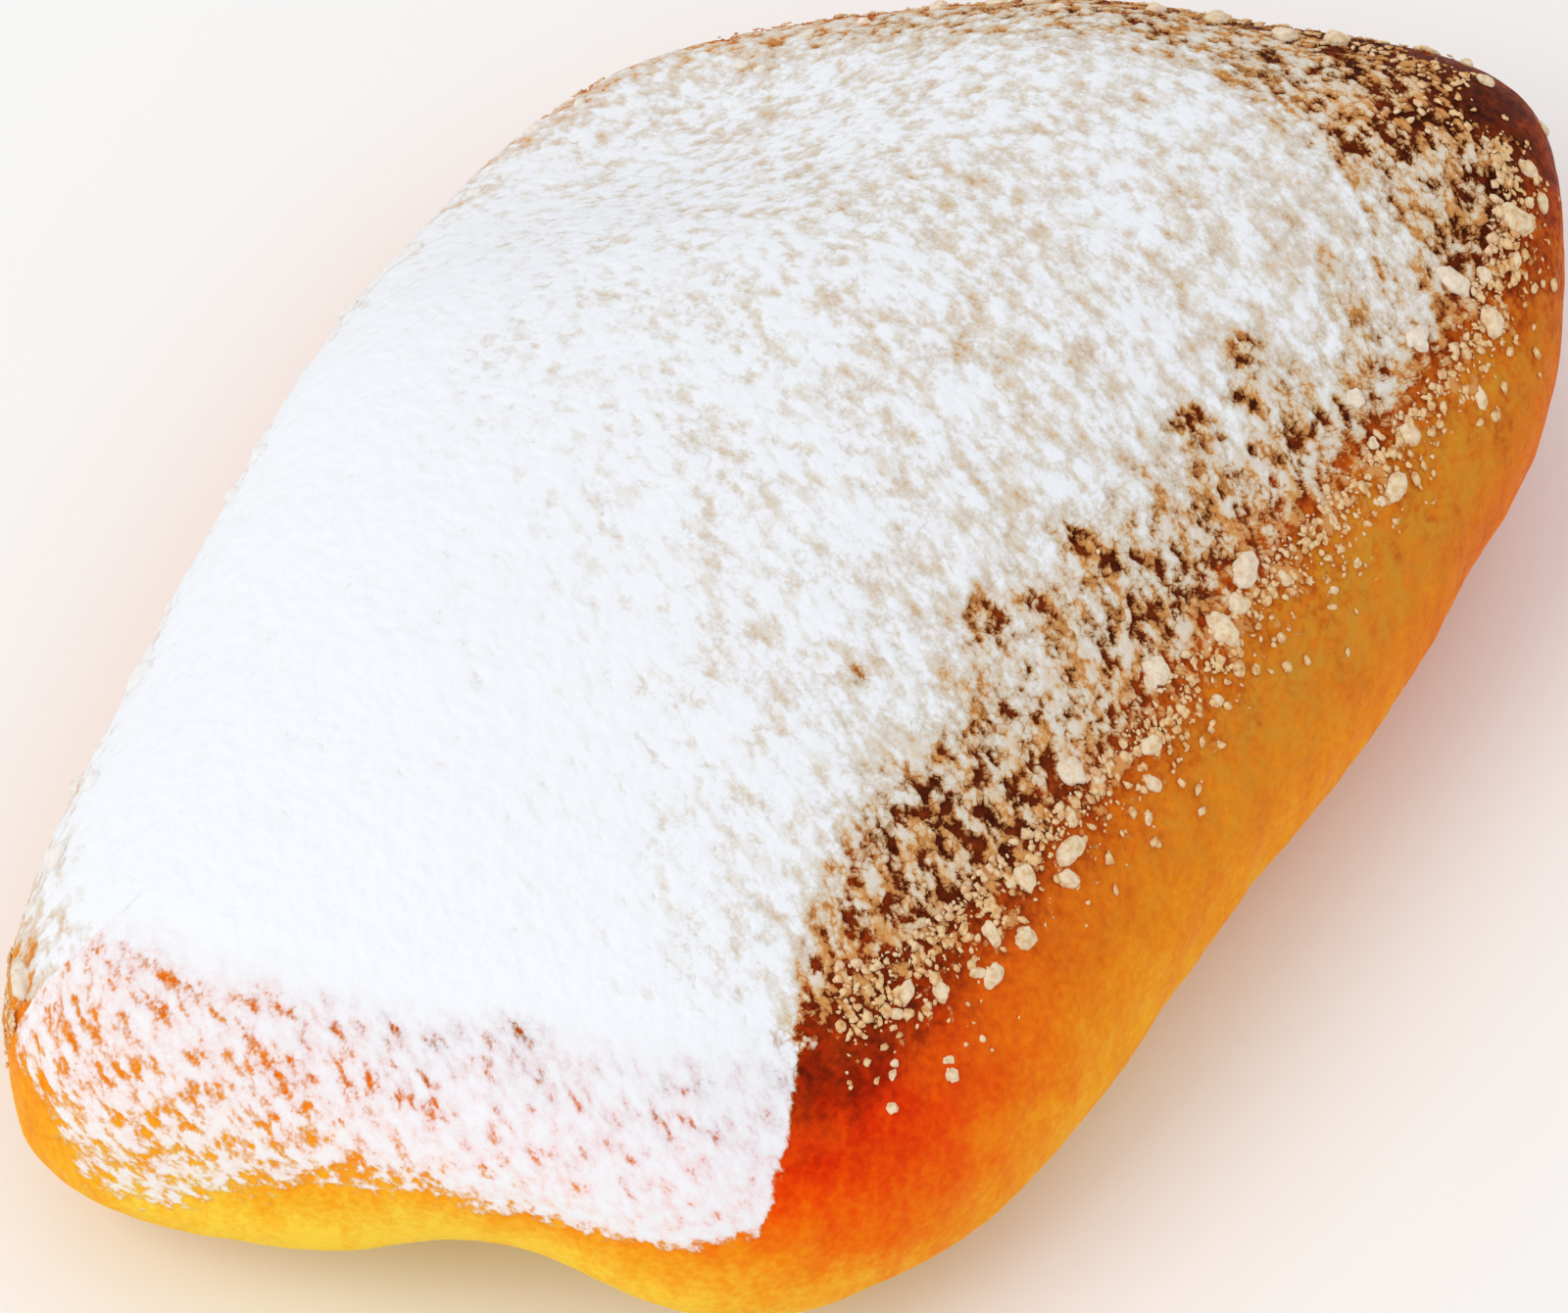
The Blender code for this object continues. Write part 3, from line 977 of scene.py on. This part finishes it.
def sugar_material():
    """Powdered sugar, which lets the crust through where it is thin, and is white where it is deep."""
    wiring = Wiring("powdered sugar coat", *SUGAR_SURFACE)
    speckle = wiring.ranged(wiring.noise(*SPECKLE_NOISE), *SPECKLE_RANGE)
    depth = wiring.math("ADD", wiring.attribute("depth_mm"), speckle)
    cracks = wiring.cracks(CRUMB_SCALE, CRUMB_WAVER, CRACK_WIDTH)
    depth = wiring.math("SUBTRACT", depth, wiring.math("MULTIPLY", cracks, wiring.attribute("crack_mm")))
    depth = wiring.math("MAXIMUM", depth, 0.0)
    shown = wiring.math("EXPONENT", wiring.math("MULTIPLY", depth, -1.0 / HIDING_DEPTH))
    deep = wiring.ranged(depth, CREAM_DEPTH, WHITE_DEPTH)
    white = wiring.math("MULTIPLY", deep, wiring.attribute("white"))
    # Cream veins, partly painted shade of the wrinkles
    vein_and_shade = wiring.ranged(wiring.noise(*VEIN_AND_SHADE_NOISE), *VEIN_AND_SHADE_RANGE)
    white = wiring.math("SUBTRACT", white, wiring.math("MULTIPLY", vein_and_shade, wiring.attribute("veins_and_shade")))
    sugar = wiring.ramp(white, SUGAR_TINTS)
    wiring.put(wiring.shader.inputs["Base Color"], wiring.mix(shown, sugar, crust_colour(wiring)))
    wiring.bump(wiring.noise(*SUGAR_POWDER_NOISE), *SUGAR_BUMP)
    return wiring.material


def lump_material(name, tints):
    """Loose sugar, creamier than the coat where the coat is thin."""
    wiring = Wiring(name, *LUMP_SURFACE)
    tint = wiring.ranged(wiring.noise(*LUMP_TINT_NOISE), *LUMP_TINT_RANGE)
    cream = wiring.mix(tint, linear(tints[0]), linear(tints[1]))
    colour = wiring.mix(wiring.attribute("white"), cream, linear(SUGAR_WHITE))
    wiring.put(wiring.shader.inputs["Base Color"], colour)
    wiring.bump(wiring.noise(*LUMP_POWDER_NOISE), *LUMP_BUMP)
    return wiring.material


def build_floor():
    """A plain pale floor."""
    floor = bmesh.new()
    bmesh.ops.create_grid(floor, x_segments=1, y_segments=1, size=FLOOR_SIZE / 2)
    mesh = bpy.data.meshes.new("floor")
    floor.to_mesh(mesh)
    floor.free()
    wiring = Wiring("pale floor", *FLOOR_SURFACE)
    shade = wiring.ranged(wiring.noise(*FLOOR_NOISE), *FLOOR_RANGE)
    colour = wiring.mix(shade, *[linear(colour) for colour in FLOOR_COLOURS])
    wiring.put(wiring.shader.inputs["Base Color"], colour)
    mesh.materials.append(wiring.material)
    piece = bpy.data.objects.new("floor", mesh)
    bpy.context.scene.collection.objects.link(piece)


def light_and_camera():
    """A soft white room, one large lamp high up past the near end, and the photo's view."""
    scene = bpy.context.scene
    world = bpy.data.worlds.new("soft white room")
    world.use_nodes = True
    sky = world.node_tree.nodes["Background"]
    sky.inputs["Color"].default_value = (1.0, 1.0, 1.0, 1.0)
    sky.inputs["Strength"].default_value = SKY_STRENGTH
    scene.world = world

    key = bpy.data.lights.new("key", "AREA")
    key.size = KEY_SIZE
    key.energy = KEY_WATTS
    lamp = bpy.data.objects.new("key", key)
    lamp.location = KEY_WAY * KEY_DISTANCE
    lamp.rotation_euler = (-KEY_WAY).to_track_quat("-Z", "Y").to_euler()
    scene.collection.objects.link(lamp)

    flat = math.cos(VIEW_ELEVATION)
    back = Vector(
        (math.sin(VIEW_AZIMUTH) * flat, -math.cos(VIEW_AZIMUTH) * flat, math.sin(VIEW_ELEVATION))
    )
    lens = bpy.data.cameras.new("camera")
    lens.lens = LENS_MM
    lens.sensor_width = SENSOR_MM
    camera = bpy.data.objects.new("camera", lens)
    camera.location = VIEW_TARGET + back * VIEW_DISTANCE
    camera.rotation_euler = (-back).to_track_quat("-Z", "Y").to_euler()
    scene.collection.objects.link(camera)
    scene.camera = camera
    scene.view_settings.view_transform = "Standard"


def main():
    """Builds every piece, and the floor, the light and the camera."""
    crust = build_crust(crust_material())
    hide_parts("beignet")

    sugar = sugar_material()
    for name, keep in coat_stretches().items():
        build_coat(name, keep, sugar)

    grains = lump_material("powdered sugar grains", GRAIN_TINTS)
    for name, band in GRAIN_BANDS.items():
        build_grains(name, band, grains)
    build_clumps(lump_material("powdered sugar clumps", CLUMP_TINTS))

    build_floor()
    light_and_camera()


SHIFT = foot_shift()
main()
